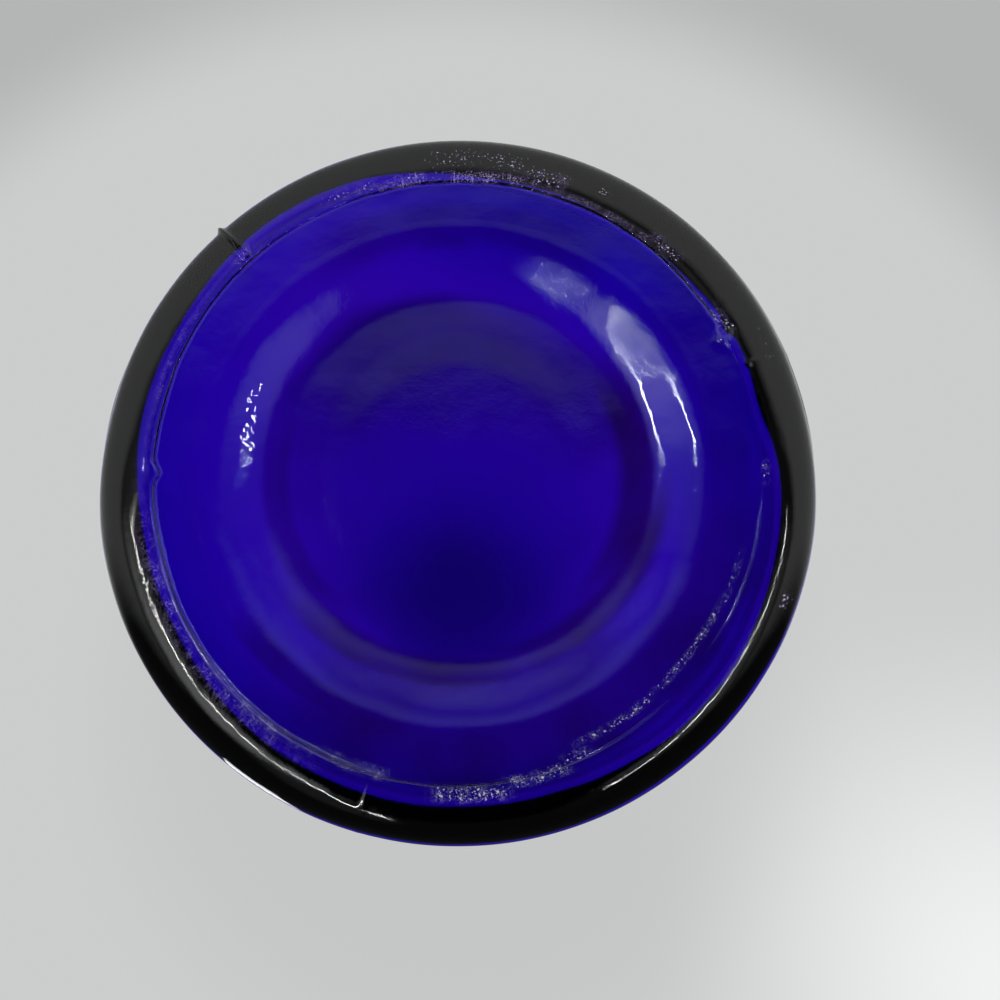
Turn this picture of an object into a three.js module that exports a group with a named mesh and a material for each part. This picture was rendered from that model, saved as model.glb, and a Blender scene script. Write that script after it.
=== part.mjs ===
// Genie bottle decanter: a mould-blown glass bottle, a hollow-blown glass stopper,
// and the cork sleeve on the stopper's shank that seals the mouth.
// Millimetres, +Z up, origin at the centre of the ring that the bottle stands on.
import * as THREE from "three";

// Facets round the axis, and steps along the curves of a profile
const SIDES = 40;
const LONG_CURVE_STEPS = 12;
const CURVE_STEPS = 6;
const ROUND_STEPS = 4;

// Foot of the bottle, from its side in to the axis
const BODY_R = 56; // outside of the body, widest just above the heel
const HEEL_ROUND = 5.6; // rounding from the side down to the ring that it stands on
const REST_RING_WIDTH = 4.7; // flat ring that it stands on
const LEDGE_WIDTH = 5.4; // gently rising band inside that ring
const LEDGE_RISE = 0.45;
const STEP_WIDTH = 13; // gentle slope from the band up to the dish
const DISH_RISE = 2.65; // height of the dish's edge above the rest plane
const DISH_CROWN = 0.2; // how much higher the dish is at the axis

// Body and neck
const WALL = 4; // wall of the body, measured level
const HEEL_WALL = 5.5; // wall just above the heel, where the glass is thickest
const HEEL_WALL_TOP = 26; // height up to which it keeps that thickness
const WALL_START_Z = 60; // height by which it has thinned to the body's wall
const FLOOR_THICKNESS = 7; // glass over the middle of the dish
const HEEL_FLOOR = 8; // inside floor's height where it meets the side
const INNER_ROUND = 5; // rounding between the inside floor and the side
const FLOOR_EDGE_ARM = 15; // how far the inside floor stays level from its edge
const FLOOR_MIDDLE_ARM = 30; // and from the axis
const NECK_START_Z = 172; // where the body's curve becomes the straight neck
const BELLY_ARM = 96; // how far the side keeps rising before it turns in
const NECK_ARM = 118; // how far the neck's line carries down into the shoulder
const NECK_R = 12.8;
const BORE_R = 9.2;

// Ring round the neck
const NECK_RING_GAP = 20; // from the start of the straight neck to the ring's lower edge
const NECK_RING_ROUND = 4; // radius of its half-round section

// Flared mouth
const MOUTH_RISE = 28; // from the neck ring's upper edge to the top of the lip
const FLARE_HEIGHT = 22; // flared part of that, on the outside
const FLARE_DEPTH = 14; // flared part of the bore
const LIP_R = 19.5;
const LIP_ROUND = 2; // radius of the rim's round edge
const LIP_LEAN = Math.PI / 4; // how far the flare leans out where it meets the rim

// Stopper
const SEAT_GAP = 0.2; // between the lip and the collar that sits on it
const COLLAR_OVERHANG = 1.5; // of the collar past the lip
const COLLAR_THICKNESS = 5.4;
const WAIST_R = 7.5;
const WAIST_RISE = 5; // from the collar up to the start of the bulb
const BULB_R = 20.5;
const BULB_RISE = 25; // from the waist to the widest part of the bulb
const SPIRE_RISE = 78; // from there to the top of the spire
const SPIRE_R = 2.9;
const SPIRE_LOW_ARM = 34; // how far the bulb keeps rising before it turns in
const SPIRE_HIGH_ARM = 50; // how far the spire's line carries down
const TIP_R = 4.8; // ball on the tip
const SHANK_R = 6.2;
const SHANK_END = 4; // of the shank below the cork sleeve
const SHANK_EDGE = 1; // rounding of the shank's end
const STOPPER_WALL = 3;
const CAVITY_TIP_R = 1.2; // where the hollow in the spire closes

// Cork sleeve
const CORK_LENGTH = 30;
const CORK_CLEARANCE = 0.1; // to the bore, to the shank and to the collar above
const CORK_TAPER = 0.5; // how much slimmer it is at its lower end
const CORK_TAPER_LENGTH = 15; // part of its length that tapers
const CORK_CHAMFER = 1;

// Heights and radii that follow from those
const REST_OUTER_R = BODY_R - HEEL_ROUND;
const REST_INNER_R = REST_OUTER_R - REST_RING_WIDTH;
const STEP_R = REST_INNER_R - LEDGE_WIDTH;
const DISH_R = STEP_R - STEP_WIDTH;
const FLOOR_Z = DISH_RISE + DISH_CROWN + FLOOR_THICKNESS;
const RING_Z = NECK_START_Z + NECK_RING_GAP + NECK_RING_ROUND;
const LIP_Z = RING_Z + NECK_RING_ROUND + MOUTH_RISE;
const COLLAR_R = LIP_R + COLLAR_OVERHANG;
const COLLAR_Z = LIP_Z + SEAT_GAP;
const WAIST_Z = COLLAR_Z + COLLAR_THICKNESS;
const BULB_START_Z = WAIST_Z + WAIST_RISE;
const BULB_Z = BULB_START_Z + BULB_RISE;
const SPIRE_Z = BULB_Z + SPIRE_RISE;
const CORK_TOP_Z = COLLAR_Z - CORK_CLEARANCE;
const CORK_END_Z = CORK_TOP_Z - CORK_LENGTH;
const SHANK_END_Z = CORK_END_Z - SHANK_END;
const SHANK_BORE_R = SHANK_R - STOPPER_WALL;

const glass = new THREE.MeshStandardMaterial({
  color: 0x1a0088,
  roughness: 0.04,
  metalness: 0,
  transparent: true,
  opacity: 0.8,
});
const cork = new THREE.MeshStandardMaterial({ color: 0xb07f4e, roughness: 0.85, metalness: 0 });

// A point of a profile: distance from the axis, and height
const at = (radius, height) => new THREE.Vector2(radius, height);

// Round stretch of a profile, with its angles measured from the outward direction towards +Z
function round(centre, radius, from, to, steps = ROUND_STEPS) {
  const clockwise = to < from;
  return new THREE.EllipseCurve(centre.x, centre.y, radius, radius, from, to, clockwise).getPoints(steps);
}

// Smooth stretch that leaves its start towards the first handle and reaches its end from the second
function sweep(start, startHandle, endHandle, end, steps = CURVE_STEPS) {
  return new THREE.CubicBezierCurve(start, startHandle, endHandle, end).getPoints(steps);
}

// Solid of revolution about +Z from runs of profile points, whose doubled points are dropped
function turned(...runs) {
  const profile = [];
  for (const point of runs.flat()) {
    const last = profile.at(-1);
    if (!last || last.distanceTo(point) > 1e-4) profile.push(point);
  }
  return new THREE.LatheGeometry(profile, SIDES).rotateX(Math.PI / 2);
}

function part(name, geometry, material) {
  const mesh = new THREE.Mesh(geometry, material);
  mesh.name = name;
  return mesh;
}

// Underside: a shallow dish, its step and ledge, the flat rest ring and the rounded heel
function underside() {
  const stepReach = STEP_WIDTH / 3;
  return [
    sweep(at(0, DISH_RISE + DISH_CROWN), at(DISH_R / 3, DISH_RISE + DISH_CROWN),
      at(DISH_R - stepReach, DISH_RISE), at(DISH_R, DISH_RISE), ROUND_STEPS),
    sweep(at(DISH_R, DISH_RISE), at(DISH_R + stepReach, DISH_RISE),
      at(STEP_R - stepReach, LEDGE_RISE), at(STEP_R, LEDGE_RISE), CURVE_STEPS),
    at(REST_INNER_R, 0),
    at(REST_OUTER_R, 0),
    round(at(REST_OUTER_R, HEEL_ROUND), HEEL_ROUND, -Math.PI / 2, 0),
  ].flat();
}

// Outside of the body, from the heel to the straight neck
function bodySide() {
  return sweep(at(BODY_R, HEEL_ROUND), at(BODY_R, HEEL_ROUND + BELLY_ARM),
    at(NECK_R, NECK_START_Z - NECK_ARM), at(NECK_R, NECK_START_Z), LONG_CURVE_STEPS);
}

// Neck ring, flared mouth and round rim, down to the straight bore
function mouth() {
  const rim = at(LIP_R - LIP_ROUND, LIP_Z - LIP_ROUND);
  const lean = at(Math.sin(LIP_LEAN), Math.cos(LIP_LEAN));
  const edge = round(rim, LIP_ROUND, -LIP_LEAN, Math.PI - LIP_LEAN);
  const flareArm = FLARE_HEIGHT / 3;
  const boreArm = FLARE_DEPTH / 3;
  const flareStart = at(NECK_R, LIP_Z - FLARE_HEIGHT);
  const boreStart = at(BORE_R, LIP_Z - FLARE_DEPTH);
  return [
    round(at(NECK_R, RING_Z), NECK_RING_ROUND, -Math.PI / 2, Math.PI / 2, CURVE_STEPS),
    sweep(flareStart, at(NECK_R, flareStart.y + flareArm),
      edge[0].clone().addScaledVector(lean, -flareArm), edge[0]),
    edge,
    sweep(edge.at(-1), edge.at(-1).clone().addScaledVector(lean, -boreArm),
      at(BORE_R, boreStart.y + boreArm), boreStart, ROUND_STEPS),
  ].flat();
}

// Inside of the bottle, from the bore down the side to the floor over the dish
function inside() {
  const wallTop = HEEL_FLOOR + INNER_ROUND;
  const outside = bodySide();
  const inner = outside.map((point, i) => {
    const wall = THREE.MathUtils.lerp(WALL, NECK_R - BORE_R, i / (outside.length - 1));
    const thinned = THREE.MathUtils.smoothstep(point.y, HEEL_WALL_TOP, WALL_START_Z);
    return at(point.x - wall - (HEEL_WALL - WALL) * (1 - thinned), point.y);
  });
  const side = inner.filter((point) => point.y > wallTop);
  const corner = at(side[0].x - INNER_ROUND, wallTop);
  return [
    side.reverse(),
    round(corner, INNER_ROUND, 0, -Math.PI / 2),
    sweep(at(corner.x, HEEL_FLOOR), at(corner.x - FLOOR_EDGE_ARM, HEEL_FLOOR),
      at(FLOOR_MIDDLE_ARM, FLOOR_Z), at(0, FLOOR_Z)),
  ].flat();
}

function bottle() {
  return part("bottle", turned(underside(), bodySide(), mouth(), inside()), glass);
}

// Outside of the stopper above its waist: the bulb's egg-shaped lower half, then the spire
function bulbAndSpire() {
  const eggAngle = Math.acos(WAIST_R / BULB_R);
  const eggRise = BULB_RISE / Math.sin(eggAngle);
  return [
    new THREE.EllipseCurve(0, BULB_Z, BULB_R, eggRise, -eggAngle, 0).getPoints(CURVE_STEPS),
    sweep(at(BULB_R, BULB_Z), at(BULB_R, BULB_Z + SPIRE_LOW_ARM),
      at(SPIRE_R, SPIRE_Z - SPIRE_HIGH_ARM), at(SPIRE_R, SPIRE_Z), LONG_CURVE_STEPS),
  ].flat();
}

// Hollow of the stopper from the closed end in the spire down to the open end of the shank
function stopperHollow() {
  const inner = bulbAndSpire()
    .map((point) => at(point.x - STOPPER_WALL, point.y))
    .filter((point) => point.x > CAVITY_TIP_R);
  return [
    at(0, inner.at(-1).y),
    inner.reverse(),
    at(SHANK_BORE_R, WAIST_Z),
    at(SHANK_BORE_R, SHANK_END_Z),
  ].flat();
}

function stopper() {
  const collarRound = COLLAR_THICKNESS / 2;
  const tipAngle = Math.acos(SPIRE_R / TIP_R);
  const tip = at(0, SPIRE_Z + TIP_R * Math.sin(tipAngle));
  const shankEdge = at(SHANK_R - SHANK_EDGE, SHANK_END_Z + SHANK_EDGE);
  const hollow = stopperHollow();
  return part("stopper", turned(
    hollow,
    round(shankEdge, SHANK_EDGE, -Math.PI / 2, 0, 2),
    at(SHANK_R, COLLAR_Z),
    round(at(COLLAR_R - collarRound, COLLAR_Z + collarRound), collarRound, -Math.PI / 2, Math.PI / 2),
    sweep(at(WAIST_R + WAIST_RISE, WAIST_Z), at(WAIST_R + WAIST_RISE / 2, WAIST_Z),
      at(WAIST_R, WAIST_Z + WAIST_RISE / 2), at(WAIST_R, BULB_START_Z), ROUND_STEPS),
    bulbAndSpire(),
    round(tip, TIP_R, -tipAngle, Math.PI / 2, CURVE_STEPS),
  ), glass);
}

// Sleeve of cork that is pushed up the shank against the collar
function corkSleeve() {
  const outerR = BORE_R - CORK_CLEARANCE;
  const endR = outerR - CORK_TAPER;
  const innerR = SHANK_R + CORK_CLEARANCE;
  return part("cork_sleeve", turned(
    at(innerR, CORK_TOP_Z),
    at(innerR, CORK_END_Z),
    at(endR - CORK_CHAMFER, CORK_END_Z),
    at(endR, CORK_END_Z + CORK_CHAMFER),
    at(outerR, CORK_END_Z + CORK_TAPER_LENGTH),
    at(outerR, CORK_TOP_Z),
    at(innerR, CORK_TOP_Z),
  ), cork);
}

const decanter = new THREE.Group();
decanter.name = "genie_bottle_decanter";
decanter.add(bottle(), stopper(), corkSleeve());

export default decanter;
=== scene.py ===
"""Genie bottle decanter in cobalt-blue moulded glass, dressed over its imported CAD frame.

The bottle, the hollow stopper and the cork sleeve are turned about the bottle's axis.
Metres, +Z up, origin at the centre of the ring that the bottle stands on.
"""
import math
from functools import reduce

import bpy
import numpy as np
from bpy.props import FloatProperty, FloatVectorProperty, IntProperty, PointerProperty
from bpy.types import Operator, Panel, PropertyGroup
from mathutils import Matrix, Vector, noise


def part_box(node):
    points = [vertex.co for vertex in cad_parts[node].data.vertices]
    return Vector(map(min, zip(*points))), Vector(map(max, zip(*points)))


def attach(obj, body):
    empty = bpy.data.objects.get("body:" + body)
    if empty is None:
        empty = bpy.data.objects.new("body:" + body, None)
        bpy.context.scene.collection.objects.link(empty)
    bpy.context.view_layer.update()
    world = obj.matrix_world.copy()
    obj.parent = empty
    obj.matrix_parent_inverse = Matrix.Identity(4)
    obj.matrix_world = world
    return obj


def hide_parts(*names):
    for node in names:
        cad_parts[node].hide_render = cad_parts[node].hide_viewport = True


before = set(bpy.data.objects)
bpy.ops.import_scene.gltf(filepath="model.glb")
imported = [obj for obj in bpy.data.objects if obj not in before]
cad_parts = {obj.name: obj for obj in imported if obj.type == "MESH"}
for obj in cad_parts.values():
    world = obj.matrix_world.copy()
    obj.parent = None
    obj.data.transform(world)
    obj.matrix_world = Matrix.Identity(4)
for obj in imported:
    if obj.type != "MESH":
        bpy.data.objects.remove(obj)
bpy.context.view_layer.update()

bl_info = {
    "name": "Genie bottle decanter",
    "version": (1, 0, 0),
    "blender": (4, 5, 0),
    "location": "View3D > Sidebar > Decanter",
    "description": "Makes a cobalt glass decanter with its stopper, its cork sleeve and a stage",
    "category": "Object",
}

MM = 0.001
bottle_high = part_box("bottle")[1]
stopper_low, stopper_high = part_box("stopper")
cork_low, cork_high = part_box("cork_sleeve")


def length(name, description, default):
    """Property for a size in metres"""
    return FloatProperty(name=name, description=description, default=default, unit="LENGTH", precision=5)


def colour(name, description, default):
    """Property for a linear colour"""
    return FloatVectorProperty(name=name, description=description, default=default,
                               subtype="COLOR", min=0.0, max=1.0)


def angle(name, description, degrees):
    """Property for an angle about the bottle's axis or off it"""
    return FloatProperty(name=name, description=description, default=math.radians(degrees),
                         subtype="ANGLE", unit="ROTATION")


class BottleSizes(PropertyGroup):
    """Sizes of the bottle's turned profile"""
    body_r: length("Body radius", "Outside of the body, widest just above the heel", bottle_high.x)
    heel_round: length("Heel rounding", "Rounding from the side down to the rest ring", 5.6 * MM)
    rest_ring: length("Rest ring", "Width of the ring that it stands on", 4.7 * MM)
    ledge: length("Ledge", "Width of the gently rising band inside the rest ring", 5.4 * MM)
    ledge_rise: length("Ledge rise", "Rise of that band", 0.55 * MM)
    ring_rise: length("Ring rise", "Rise of the ring's inner edge above the circle that touches the table",
                      0.25 * MM)
    step: length("Step", "Width of the gentle slope from the band up to the dish", 13.0 * MM)
    dish_rise: length("Dish rise", "Height of the dish's edge above the rest plane", 2.65 * MM)
    dish_crown: length("Dish crown", "How much higher the dish is at the axis", 0.2 * MM)
    wall: length("Wall", "Wall of the body, measured level", 4.0 * MM)
    heel_wall: length("Heel wall", "Wall just above the heel, where the glass is thickest", 5.5 * MM)
    heel_wall_top: length("Heel wall top", "Height up to which it keeps that thickness", 26.0 * MM)
    wall_start: length("Wall start", "Height by which it has thinned to the body's wall", 60.0 * MM)
    floor: length("Floor", "Glass over the middle of the dish", 7.0 * MM)
    heel_floor: length("Heel floor", "Inside floor's height where it meets the side", 8.0 * MM)
    inner_round: length("Inner rounding", "Rounding between the inside floor and the side", 5.0 * MM)
    floor_edge_arm: length("Floor edge", "How far the inside floor stays level from its edge", 15.0 * MM)
    floor_middle_arm: length("Floor middle", "How far it stays level from the axis", 30.0 * MM)
    neck_start: length("Neck start", "Height where the body's curve becomes the straight neck", 172.0 * MM)
    belly_arm: length("Belly arm", "How far the side keeps rising before it turns in", 96.0 * MM)
    neck_arm: length("Neck arm", "How far the neck's line carries down into the shoulder", 118.0 * MM)
    neck_r: length("Neck radius", "Outside of the straight neck", 12.8 * MM)
    bore_r: length("Bore radius", "Inside of the straight neck", 9.2 * MM)
    neck_ring_gap: length("Ring gap", "From the neck's start to the ring's lower edge", 20.0 * MM)
    neck_ring_round: length("Ring rounding", "Radius of the neck ring's half-round section", 4.0 * MM)
    lip_z: length("Lip height", "Top of the lip", bottle_high.z)
    flare_height: length("Flare height", "Flared part of the mouth outside", 22.0 * MM)
    flare_depth: length("Flare depth", "Flared part of the bore", 14.0 * MM)
    lip_r: length("Lip radius", "Outside of the lip", 19.5 * MM)
    lip_round: length("Lip rounding", "Radius of the rim's round edge", 2.0 * MM)
    lip_lean: angle("Lip lean", "How far the flare leans out where it meets the rim", 45.0)


class GlassMarks(PropertyGroup):
    """Marks that the mould left on the bottle"""
    plate_seam_r: length("Plate seam", "Mean radius of the seam round the mould's base plate", 46.5 * MM)
    plate_seam_wander: length("Plate seam wander", "How far that seam strays from its circle", 0.45 * MM)
    plate_groove: length("Plate groove", "Depth of the crevice along the seam", 0.3 * MM)
    plate_lip: length("Plate lip", "Height of the raised lip outside the crevice", 0.05 * MM)
    strong_fin: angle("Strong fin", "Direction of the strong seam between the mould's parts", 46.0)
    right_fin: angle("Second fin", "Direction of the second seam", 159.0)
    low_fin: angle("Third fin", "Direction of the third seam", 286.0)
    nick: angle("Nick", "Direction of the nick beside the plate seam", 151.0)
    flat_spot: length("Flat spot", "How far the body is sunk beside the strong fin", 0.9 * MM)
    worn_edge: length("Worn edge", "How far one half of the rest ring is rounded off", 0.55 * MM)
    inside_shift: length("Inside shift", "How far the inside lies off the axis at the heel", 0.35 * MM)
    inside_oval: length("Inside oval", "How far the inside is out of round there", 0.5 * MM)
    inside_room: length("Inside room", "How much wider the inside is there than the plain profile", 0.5 * MM)
    wave: length("Wave", "Height of the slow waves in the glass", 0.16 * MM)
    seed: IntProperty(name="Seed", description="Start of the noise in the glass", default=7)


class StopperSizes(PropertyGroup):
    """Sizes of the stopper's turned profile"""
    collar_r: length("Collar radius", "Collar that sits on the lip", stopper_high.x)
    collar_z: length("Collar height", "Underside of the collar", cork_high.z + 0.1 * MM)
    collar: length("Collar thickness", "Thickness of the collar", 5.4 * MM)
    waist_r: length("Waist radius", "Waist between collar and bulb", 7.5 * MM)
    waist_rise: length("Waist rise", "From the collar up to the start of the bulb", 5.0 * MM)
    bulb_r: length("Bulb radius", "Widest part of the bulb", 20.5 * MM)
    bulb_rise: length("Bulb rise", "From the waist to the widest part of the bulb", 25.0 * MM)
    spire_rise: length("Spire rise", "From there to the top of the spire", 78.0 * MM)
    spire_r: length("Spire radius", "Top of the spire", 2.9 * MM)
    spire_low_arm: length("Spire low arm", "How far the bulb rises before it turns in", 34.0 * MM)
    spire_high_arm: length("Spire high arm", "How far the spire's line carries down", 50.0 * MM)
    tip_r: length("Tip radius", "Ball on the tip", 4.8 * MM)
    shank_r: length("Shank radius", "Shank inside the cork", 6.2 * MM)
    shank_end: length("Shank end", "Height of the shank's open end", stopper_low.z)
    shank_edge: length("Shank edge", "Rounding of the shank's end", 1.0 * MM)
    wall: length("Wall", "Wall of the hollow stopper", 3.0 * MM)
    cavity_tip_r: length("Hollow's end", "Radius where the hollow in the spire closes", 1.2 * MM)


class CorkSizes(PropertyGroup):
    """Sizes of the cork sleeve"""
    outer_r: length("Outer radius", "Outside of the sleeve", cork_high.x)
    inner_r: length("Inner radius", "Inside of the sleeve, on the shank", 6.3 * MM)
    low: length("Lower end", "Height of the lower end", cork_low.z)
    high: length("Upper end", "Height of the upper end", cork_high.z)
    taper: length("Taper", "How much slimmer it is at its lower end", 0.5 * MM)
    taper_length: length("Taper length", "Part of its length that tapers", 15.0 * MM)
    chamfer: length("Chamfer", "Chamfer of the lower end", 1.0 * MM)
    pit: length("Pit depth", "Depth of the pores in the cork", 0.35 * MM)


class Finishes(PropertyGroup):
    """Colours of glass and cork"""
    glass_tint: colour("Glass tint", "Tint of light that passes a face of the glass", (0.55, 0.36, 0.98))
    # Painted shade: the darker tint given to patches of the base, standing in for dimmer light seen through
    # the glass
    glass_painted_shade: colour("Deep tint", "Tint of light where the base's colour runs deeper", (0.15, 0.16, 0.09))
    glass_body: colour("Glass body", "Colour that light keeps inside the glass", (0.60, 0.06, 0.93))
    glass_depth: FloatProperty(name="Glass depth", description="How fast the glass takes up light, per metre",
                               default=500.0)
    scuff: colour("Scuff", "Chalky glass where the surface is scuffed", (0.62, 0.60, 0.72))
    cork_light: colour("Light cork", "Pale grains of the cork", (0.52, 0.31, 0.15))
    cork_dark: colour("Dark cork", "Darker grains of the cork", (0.33, 0.17, 0.07))
    cork_pore: colour("Cork pores", "Bark-filled pores", (0.085, 0.038, 0.016))


class StageSettings(PropertyGroup):
    """Camera, backdrop and lamps"""
    camera_distance: length("Camera distance", "From the camera to the middle of the base", 200.0 * MM)
    camera_tilt: angle("Camera tilt", "Angle of the view off the bottle's axis", 10.0)
    focal_pixels: FloatProperty(name="Focal length", description="Focal length in pixels of the frame",
                                default=1316.0)
    backdrop: colour("Backdrop", "Pale backdrop", (0.600, 0.614, 0.608))
    floor: colour("Floor", "Pale floor", (0.74, 0.75, 0.745))
    strip_radiance: FloatProperty(name="Strip lamps", description="Brightness of the two strip lamps",
                                  default=58.0)
    strip_width: length("Strip width", "Width of the two strip lamps", 15.0 * MM)
    key_radiance: FloatProperty(name="Key lamp", description="Brightness of the lamp over the stage",
                                default=4.2)


def bezier(start, start_arm, end_arm, end, steps):
    """Smooth stretch of a profile that leaves its start towards one handle and ends from the other"""
    t = np.linspace(0.0, 1.0, steps + 1)[:, None]
    a, b, c, d = (np.array(point) for point in (start, start_arm, end_arm, end))
    return a * (1 - t) ** 3 + 3 * b * t * (1 - t) ** 2 + 3 * c * t ** 2 * (1 - t) + d * t ** 3


def arc(centre, radius, start, end, steps):
    """Round stretch of a profile; radius may be one for each axis"""
    turn = np.linspace(start, end, steps + 1)
    return np.array(centre) + np.column_stack([np.cos(turn), np.sin(turn)]) * radius


def line(start, end, steps):
    """Straight stretch of a profile"""
    return np.linspace(start, end, steps + 1)


def joined(*runs):
    """One profile from its runs, without doubled points"""
    points = np.vstack([np.atleast_2d(run) for run in runs])
    apart = np.linalg.norm(np.diff(points, axis=0), axis=1) > 1e-7
    return points[np.concatenate([[True], apart])]


def outward(points):
    """Unit normal at each point of a profile"""
    along = np.gradient(points, axis=0)
    normal = np.column_stack([along[:, 1], -along[:, 0]])
    return normal / np.linalg.norm(normal, axis=1, keepdims=True)


def smooth(low, high, value):
    """0 below low, 1 above high, and a smooth ramp between them"""
    t = np.clip((value - low) / (high - low), 0.0, 1.0)
    return t * t * (3 - 2 * t)


def bump(value, middle, width):
    """Bell-shaped rise of 1 at the middle"""
    return np.exp(-((value - middle) / width) ** 2)


def waves(points, scale, seed):
    """Slow noise at each point of a grid, about -1 to 1"""
    shift = Vector((seed * 13.7, seed * 5.3, seed * 9.1))
    flat = points.reshape(-1, 3) * scale
    values = [noise.noise(Vector(place) + shift) for place in flat]
    return np.array(values).reshape(points.shape[:2])


def placed(radii, heights, angles):
    """Grid of points round the axis"""
    heights = np.broadcast_to(heights, np.broadcast(radii, angles).shape)
    return np.stack([radii * np.cos(angles), radii * np.sin(angles), heights], axis=-1)


def turned_object(name, grid, closed):
    """Mesh object from rings of points: closed joins the last ring to the first, else both ends are points"""
    rows, columns = grid.shape[:2]
    index = np.arange(rows * columns).reshape(rows, columns)
    if not closed:
        index[0] = index[0, 0]
        index[-1] = index[-1, 0]
    after = np.roll(index, -1, axis=1)
    pairs = [(row, (row + 1) % rows) for row in range(rows if closed else rows - 1)]
    faces = []
    for low, high in pairs:
        for corners in zip(index[low], after[low], after[high], index[high]):
            faces.append(list(dict.fromkeys(int(corner) for corner in corners)))
    used = np.unique(index)
    renumber = np.zeros(rows * columns, int)
    renumber[used] = np.arange(len(used))
    faces = [[int(renumber[corner]) for corner in face] for face in faces]
    mesh = bpy.data.meshes.new(name)
    mesh.from_pydata(grid.reshape(-1, 3)[used].tolist(), [], faces)
    mesh.validate()
    mesh.shade_smooth()
    piece = bpy.data.objects.new(name, mesh)
    bpy.context.scene.collection.objects.link(piece)
    return piece


def bottle_underside(size):
    """Dish, its step, the ledge, the rest ring and the heel, from the axis outwards"""
    rest_outer = size.body_r - size.heel_round
    rest_inner = rest_outer - size.rest_ring
    step_r = rest_inner - size.ledge
    dish_r = step_r - size.step
    reach = size.step / 3
    top = size.dish_rise + size.dish_crown
    return joined(
        bezier((0, top), (dish_r / 3, top), (dish_r - reach, size.dish_rise), (dish_r, size.dish_rise), 40),
        bezier((dish_r, size.dish_rise), (dish_r + reach, size.dish_rise),
               (step_r - reach, size.ledge_rise), (step_r, size.ledge_rise), 24),
        line((step_r, size.ledge_rise), (rest_inner, size.ring_rise), 20),
        bezier((rest_inner, size.ring_rise), (rest_inner + size.rest_ring * 0.6, size.ring_rise * 0.24),
               (rest_outer - size.rest_ring * 0.2, 0), (rest_outer, 0), 24),
        bezier((rest_outer, 0), (rest_outer + size.heel_round * 0.68, 0),
               (size.body_r, size.heel_round * 0.38), (size.body_r, size.heel_round), 48),
    )


def bottle_side(size, steps):
    """Outside of the body, from the heel to the straight neck"""
    return bezier((size.body_r, size.heel_round), (size.body_r, size.heel_round + size.belly_arm),
                  (size.neck_r, size.neck_start - size.neck_arm), (size.neck_r, size.neck_start), steps)


def bottle_mouth(size):
    """Straight neck, its ring, the flared mouth and the round rim, down to the straight bore"""
    ring_z = size.neck_start + size.neck_ring_gap + size.neck_ring_round
    rim = (size.lip_r - size.lip_round, size.lip_z - size.lip_round)
    lean = np.array([math.sin(size.lip_lean), math.cos(size.lip_lean)])
    edge = arc(rim, size.lip_round, -size.lip_lean, math.pi - size.lip_lean, 10)
    flare_arm = size.flare_height / 3
    bore_arm = size.flare_depth / 3
    flare_start = size.lip_z - size.flare_height
    bore_start = size.lip_z - size.flare_depth
    ring_low = (size.neck_r, ring_z - size.neck_ring_round)
    return joined(
        line((size.neck_r, size.neck_start), ring_low, 5),
        arc((size.neck_r, ring_z), size.neck_ring_round, -math.pi / 2, math.pi / 2, 12),
        bezier((size.neck_r, flare_start), (size.neck_r, flare_start + flare_arm),
               edge[0] - lean * flare_arm, edge[0], 12),
        edge,
        bezier(edge[-1], edge[-1] - lean * bore_arm,
               (size.bore_r, bore_start + bore_arm), (size.bore_r, bore_start), 8),
    )


def bottle_inside(size):
    """Inside of the bottle, from the bore down the side to the floor over the dish"""
    wall_top = size.heel_floor + size.inner_round
    outside = bottle_side(size, 32)
    share = np.linspace(0.0, 1.0, len(outside))
    wall = size.wall + (size.neck_r - size.bore_r - size.wall) * share
    wall += (size.heel_wall - size.wall) * (1 - smooth(size.heel_wall_top, size.wall_start, outside[:, 1]))
    side = np.column_stack([outside[:, 0] - wall, outside[:, 1]])
    side = side[side[:, 1] > wall_top]
    corner = (side[0, 0] - size.inner_round, wall_top)
    floor_z = size.dish_rise + size.dish_crown + size.floor
    return joined(
        side[::-1],
        arc(corner, size.inner_round, 0, -math.pi / 2, 8),
        bezier((corner[0], size.heel_floor), (corner[0] - size.floor_edge_arm, size.heel_floor),
               (size.floor_middle_arm, floor_z), (0, floor_z), 20),
    )


def underside_rows(size, marks):
    """Radii of the rings under the bottle, close together at the plate seam and on the step"""
    rest_outer = size.body_r - size.heel_round
    step_r = rest_outer - size.rest_ring - size.ledge
    dish_r = step_r - size.step
    seam_steps = np.array([-5.2, -4, -3.1, -2.4, -1.8, -1.35, -1, -0.75, -0.56, -0.42, -0.3, -0.2, -0.1,
                           0, 0.1, 0.2, 0.3, 0.42, 0.58, 0.8, 1.1]) * MM
    heel = np.linspace(0.0, 0.96, 17)
    return np.concatenate([
        np.linspace(0, dish_r, 14)[:-1],
        np.linspace(dish_r, step_r, 19)[:-1],
        np.linspace(step_r, marks.plate_seam_r + seam_steps[0], 4)[:-1],
        marks.plate_seam_r + seam_steps,
        np.linspace(marks.plate_seam_r + seam_steps[-1], rest_outer, 8)[1:-1],
        rest_outer + size.heel_round * np.sin(heel * math.pi / 2),
    ])


GATHERED_COLUMNS = (
    # distance from a seam or the nick in millimetres, and the most that it may take in degrees
    (0.22, 0.5), (0.45, 1.0), (0.72, 1.5), (1.05, 2.1), (1.6, 2.8), (2.4, 3.5),
)


def turned_from(angles, middle):
    """Angle from a direction, between half a turn back and half a turn on"""
    return (angles - middle + math.pi) % (2 * math.pi) - math.pi


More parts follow.
